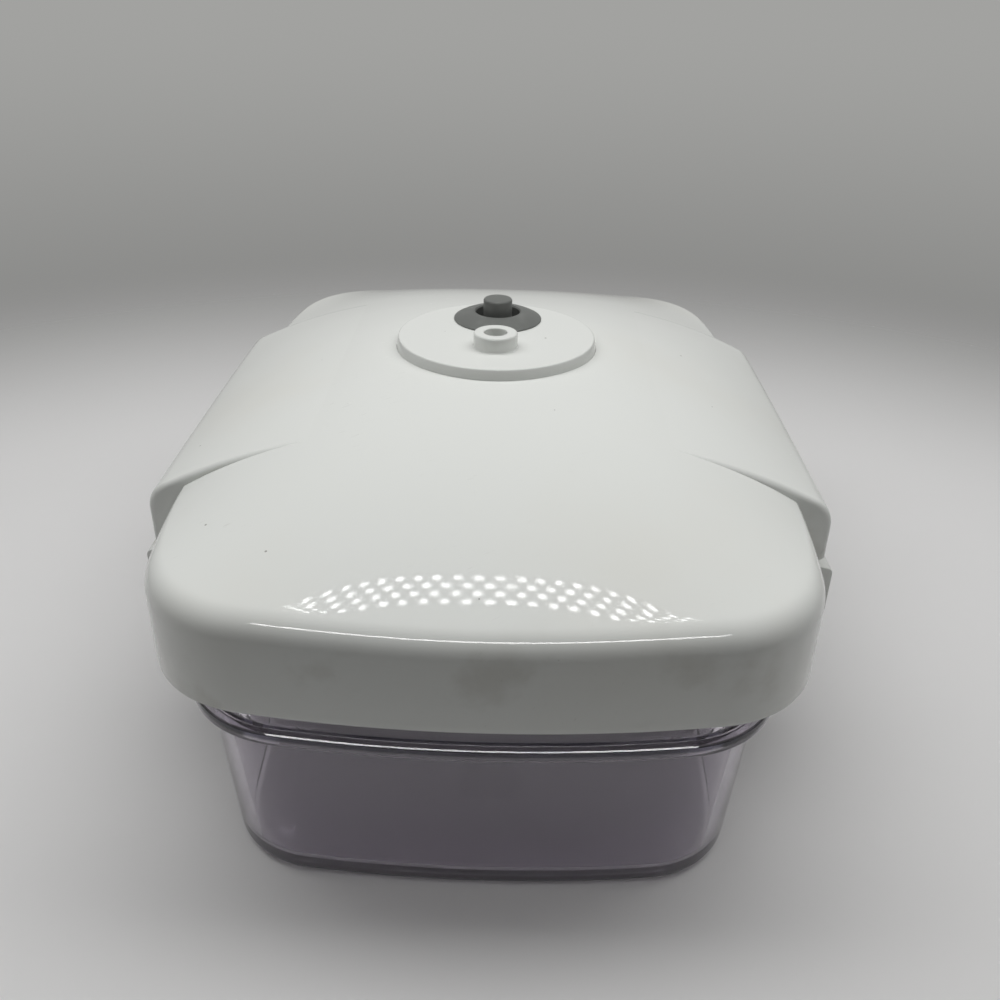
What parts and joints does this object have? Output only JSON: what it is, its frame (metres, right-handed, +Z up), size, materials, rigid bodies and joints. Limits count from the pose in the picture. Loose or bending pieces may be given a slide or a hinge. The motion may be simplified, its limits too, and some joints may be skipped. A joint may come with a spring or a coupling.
{
  "type": "vacuum food canister",
  "caption": "Low clear food box under a domed white lid with hinged side latches, a raised hose port for drawing out the air and a sprung push button that lets it back in.",
  "frame": {"origin": "on the floor, under the middle of the box: the centre of the bounding box's underside", "axes": "+Z up, +X from the middle to the right latch, +Y along the box, from the hose port to the release button"},
  "size_m": [0.1722, 0.2232, 0.102],
  "materials": {
    "smoke_clear": "clear smoke-tinted, polished",
    "white_plastic": "smooth gloss",
    "grey_plastic": "satin",
    "silicone": "soft matt",
    "steel": "bright"
  },
  "bodies": {
    "container": {"container": "smoke_clear"},
    "lid": {"lid_shell": "white_plastic", "inner_lid": "white_plastic", "main_gasket": "silicone", "check_valve_seat": "white_plastic", "check_valve": "silicone", "button_bezel": "grey_plastic", "bezel_washer": "silicone", "bezel_nut": "grey_plastic", "release_spring": "steel", "latch_pin_right": "steel", "latch_pin_left": "steel", "lid_screws": "steel"},
    "release_button": {"release_button": "grey_plastic", "valve_stem": "steel", "stem_seal": "silicone", "stem_washer": "steel", "stem_clip": "steel"},
    "latch_right": {"latch_right": "white_plastic"},
    "latch_left": {"latch_left": "white_plastic"}
  },
  "joints": [
    {"name": "lid_lift", "type": "slide", "parent": "container", "child": "lid", "axis": [0, 0, 1], "range_m": [0, 0.15]},
    {"name": "button_press", "type": "slide", "parent": "lid", "child": "release_button", "axis": [0, 0, -1], "range_m": [0, 0.003], "stiffness_N_per_m": 400, "springref_m": -0.003, "deforming": ["release_spring"]},
    {"name": "latch_right_swing", "type": "hinge", "parent": "lid", "child": "latch_right", "pos_m": [0.0785, 0, 0.0612], "axis": [0, -1, 0], "range_deg": [-4.5, 20]},
    {"name": "latch_left_swing", "type": "hinge", "parent": "lid", "child": "latch_left", "pos_m": [-0.0785, 0, 0.0612], "axis": [0, 1, 0], "range_deg": [-4.5, 20]}
  ]
}
